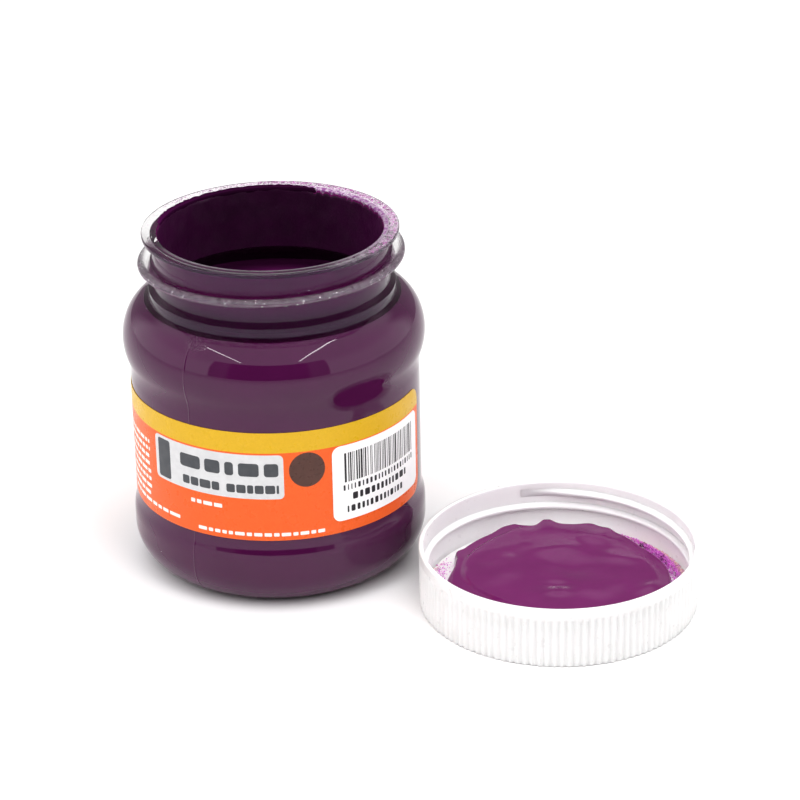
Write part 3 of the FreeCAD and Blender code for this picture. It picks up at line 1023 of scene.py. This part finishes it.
def build_liner():
    outline = rounded([
        (LINER_RADIUS - 3, LINER_LOW[2], 0), (LINER_RADIUS, LINER_LOW[2], 0.15),
        (LINER_RADIUS, LINER_FACE, 0.3), (LINER_RADIUS - 3, LINER_FACE, 0)])
    rows = fixed_rows([(0, LINER_LOW[2])] + outline + [(15, LINER_FACE), (0, LINER_FACE)])
    skin = turned(even_columns(300), rows, CAP_AXIS)
    foam = plain_look("liner_foam", (0.90, 0.885, 0.885), (0.93, 0.92, 0.92), 0.55, 0.25, 0.02)
    liner = make_piece("liner_disc", skin, foam, "cap_inner", 40)
    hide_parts("cap_liner")


EDGE_BUMPS = (
    # azimuth in degrees, how far out in millimetres, half-width in degrees
    (111, 1.9, 8), (107, 0.6, 2), (98, -0.5, 4), (90, 2.3, 4), (67, 1.4, 6), (57, 1.0, 4),
    (30, -1.5, 16), (163, -1.0, 10), (149, 0.9, 3), (-90, 1.1, 60))


def pool_edge(azimuth):
    """Outline radius and edge thickness of the pool of paint at an azimuth."""
    radius = POOL_RADIUS - 2.0
    for middle, out, width in EDGE_BUMPS:
        radius += out * math.exp(-(turn_from(middle, azimuth) / width) ** 2)
    crest = math.exp(-(turn_from(89, azimuth) / 7) ** 2)
    back = smooth_step((math.sin(math.radians(azimuth)) + 0.1) / 0.7)
    thickness = 3.05 + 0.55 * back + 0.24 * crest + 0.2 * noise_at(*flat(3, azimuth), 2.0)
    return min(radius, POOL_RADIUS), thickness


RIPPLES = (
    # x, y, half-length, half-width, turn in degrees, height; in millimetres from the cap's axis
    (-0.8, -8.6, 2.6, 2.0, 5, 0.4), (-0.8, -5.4, 2.8, 1.9, -8, -0.3), (0.5, 12.6, 6.0, 3.2, 16, 0.36),
    (9.7, 17.6, 4.2, 2.6, -24, 0.34), (15.4, 6.4, 4.2, 2.6, -32, 0.34), (20.5, -8.6, 3.2, 2.0, 34, 0.36),
    (-12, 4, 8.0, 5.0, 40, 0.4), (8, -14, 7.0, 4.5, 18, -0.35), (4, 3, 8.0, 5.0, -20, -0.4))


def pool_height(x, y):
    """Undulating top of the pool above the liner, before its edge rolls off."""
    height = 3.85 + 0.2 * noise_at(x / 13, y / 13, 8.2) + 0.08 * noise_at(x / 5, y / 5, 4.4)
    for middle_x, middle_y, length, width, turn, rise in RIPPLES:
        angle = math.radians(turn)
        along = (x - middle_x) * math.cos(angle) + (y - middle_y) * math.sin(angle)
        across = (y - middle_y) * math.cos(angle) - (x - middle_x) * math.sin(angle)
        height += rise * math.exp(-(along / length) ** 2 - (across / width) ** 2)
    fold = -21.6 + 0.035 * (y - 3.5) ** 2
    return height - 0.6 * smooth_step((fold - x) / 1.3)


def build_pool():
    """The pool of paint, with a flat foot on the liner and an edge that rolls off."""
    rings = 130
    rows = [lambda azimuth: (0, LINER_FACE + 0.01)]
    rows += [lambda azimuth: (pool_edge(azimuth)[0] * 0.6, LINER_FACE + 0.01)]
    rows += [lambda azimuth: (pool_edge(azimuth)[0] - 0.15, LINER_FACE + 0.01)]

    def top_row(share):
        def row(azimuth):
            edge, thickness = pool_edge(azimuth)
            radius = edge * share
            inside = edge - radius
            wide = math.exp(-(turn_from(188, azimuth) / 26) ** 2)
            roll = math.sqrt(max(1 - max(1 - inside / (1.0 + 1.2 * wide), 0) ** 2.6, 0))
            swell = pool_height(*flat(radius, azimuth)) - thickness
            top = thickness + swell * smooth_step(inside / 5)
            return radius, min(LINER_FACE + 0.05 + top * roll, POOL_HIGH[2])
        return row

    rows += [top_row(1 - (ring / rings) ** 1.35) for ring in range(rings + 1)]
    skin = turned(even_columns(420), rows, CAP_AXIS)
    look = paint_look("pool_paint", (0.148, 0.0085, 0.106), (0.168, 0.0105, 0.12), 0.1, 7)
    pool = make_piece("paint_pool", skin, look, "cap_inner", 60)
    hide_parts("cap_paint")


def build_crumbs():
    """Dried crumbs in two patches: many at the right of the pool, a few at its left."""
    rng = random.Random(23)
    points, faces = [], []
    inner, outer = 26.6, 30.9
    for first, last, count, biggest in ((-8, 60, 3200, 0.36), (148, 177, 260, 0.3)):
        for _ in range(count):
            azimuth = rng.triangular(first, last)
            radius = inner + (outer - inner) * rng.random() ** 0.8
            size = biggest * rng.uniform(0.3, 1.0) ** 1.5
            pile = rng.uniform(0.0, 2.0) * max(0, 1 - abs(radius - 28.2) / 2.4)
            centre = Vector(cap_polar(radius, azimuth, LINER_FACE + size * 0.4 + pile))
            add_grain(points, faces, rng, centre, size, LINER_FACE)
    look = Look("dry_crumbs", (0.6, 0.2, 0.6), 0.6, Subsurface_Weight=0.1)
    reach = look.reach(CAP_AXIS)
    pink = look.mottled(0.45, (0.55, 0.03, 0.50), (0.93, 0.34, 0.88), 0.38, 0.6, 2)
    dark = look.times(look.ramp(look.noise(2.2, 3), 0.56, 0.62), look.ramp(reach, 30.0, 28.5))
    cream = look.times(look.ramp(reach, 28.8, 30.2), look.ramp(look.noise(0.8, 2), 0.35, 0.55))
    color = look.mix(dark, pink, (0.07, 0.004, 0.055))
    look.color(look.mix(cream, color, (0.86, 0.66, 0.52)))
    look.bump(look.noise(0.15, 3), 0.03)
    crumbs = make_piece("dry_crumbs", (points, faces), look.material, "cap_inner", 25)
    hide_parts("dried_paint")


def add_grain(points, faces, rng, centre, size, floor, ceiling=1000.0):
    """One uneven eight-faced grain, kept between the heights floor and ceiling."""
    base = len(points)
    directions = ((1, 0, 0), (0, 1, 0), (-1, 0, 0), (0, -1, 0), (0, 0, 0.8), (0, 0, -0.8))
    turn = Matrix.Rotation(rng.uniform(0, TAU), 3, "Z") @ Matrix.Rotation(rng.uniform(0, 1.2), 3, "X")
    for direction in directions:
        spot = centre + turn @ Vector(direction) * (size * MM * rng.uniform(0.55, 1.0))
        spot.z = min(max(spot.z, floor * MM), ceiling * MM)
        points.append(tuple(spot))
    for index in range(4):
        following = (index + 1) % 4
        faces.append((base + index, base + following, base + 4))
        faces.append((base + following, base + index, base + 5))


# ---- stage


def build_stage():
    bpy.ops.mesh.primitive_plane_add(size=6.0, location=(0, 0, -0.00002))
    floor = bpy.context.object
    floor.name = "floor"
    look = Look("floor_white", (0.9, 0.9, 0.9), 0.6)
    look.color(look.mottled(60, (0.90, 0.895, 0.895), (0.92, 0.915, 0.915), 0.0, 1.0, 2))
    floor.data.materials.append(look.material)


def soft_light(name, place, target, width, power, length):
    data = bpy.data.lights.new(name, "AREA")
    data.energy = power
    data.shape = "RECTANGLE"
    data.size = width
    data.size_y = length
    light = bpy.data.objects.new(name, data)
    light.location = place
    aim = Vector(target) - Vector(place)
    light.rotation_euler = aim.to_track_quat("-Z", "Y").to_euler()
    bpy.context.scene.collection.objects.link(light)
    return light


def build_tent(world):
    """White box tent: bright sides and roof, dimmer back and flaps, dark opening on the camera's side."""
    tent = Nodes(world.node_tree)

    def step(value, low, high):
        return tent.ramp(value, low, high, smooth=True)

    def blend(factor, first, second):
        """first where factor is 0, second where it is 1."""
        return tent.plus(first, tent.times(factor, tent.minus(second, first)))

    x, y, up = tent.split(tent.new("TexCoord").outputs["Generated"])
    ahead = tent.plus(tent.times(x, -0.096), tent.times(y, -0.995))
    facing = tent.math("DIVIDE", ahead, tent.largest(tent.length(x, y), 0.001))
    below_edge = step(up, 0.57, 0.54)
    value = blend(step(up, 0.3, 0.62), TENT_SIDES, TENT_ROOF)
    value = blend(tent.times(step(facing, -0.55, -0.8), step(up, 0.66, 0.5)), value, TENT_BACK)
    value = blend(tent.times(step(facing, 0.695, 0.715), below_edge), value, TENT_FLAPS)
    value = blend(tent.times(step(facing, 0.84, 0.88), below_edge), value, TENT_OPENING)
    tent.feed(tent.nodes["Background"], {"Color": (1.0, 0.995, 0.995), "Strength": value})


def build_light():
    """The tent as surroundings, and two rows of lamps along its roof. Each row is a thin strip for
    reflections, and a wide panel for the light that it throws."""
    world = bpy.data.worlds.new("white_tent")
    bpy.context.scene.world = world
    world.use_nodes = True
    build_tent(world)
    for name, across in (("left_lamps", -0.28), ("right_lamps", 0.19)):
        place = (across, -0.2, LAMP_HEIGHT)
        strip = soft_light(name, place, (across, -0.2, 0.0), 0.014, LAMP_POWER, 0.64)
        strip.visible_diffuse = False
        strip.visible_transmission = False
        place = (across * 0.9, -0.25, LAMP_HEIGHT)
        glow = soft_light(name + "_glow", place, (0.03, 0, 0.03), 0.22, GLOW_POWER, 0.6)
        glow.visible_glossy = False
        glow.visible_transmission = False
        glow.visible_camera = False


def build_camera():
    """Camera in front of the jar, above it, looking down and slightly to the right."""
    yaw, pitch, roll = (math.radians(angle) for angle in (2.70, 24.93, -1.07))
    forward = Vector((math.sin(yaw) * math.cos(pitch), math.cos(yaw) * math.cos(pitch),
                      -math.sin(pitch)))
    level = Vector((math.cos(yaw), -math.sin(yaw), 0))
    upright = level.cross(forward)
    right = level * math.cos(roll) + upright * math.sin(roll)
    up = upright * math.cos(roll) - level * math.sin(roll)
    data = bpy.data.cameras.new("camera")
    data.lens = 129.5
    data.sensor_width = 36.0
    data.clip_start = 0.05
    camera = bpy.data.objects.new("camera", data)
    turn = Matrix((right, up, -forward)).transposed().to_4x4()
    camera.matrix_world = Matrix.Translation((0, -0.6234, 0.3272)) @ turn
    bpy.context.scene.collection.objects.link(camera)
    bpy.context.scene.camera = camera


def main():
    build_camera()
    build_jar()
    build_lip_flecks()
    build_paint()
    build_film()
    build_label()
    build_cap()
    build_liner()
    build_pool()
    build_crumbs()
    build_stage()
    build_light()
    view = bpy.context.scene.view_settings
    view.view_transform = "Standard"
    view.exposure = -0.05
    view.gamma = 0.87


main()
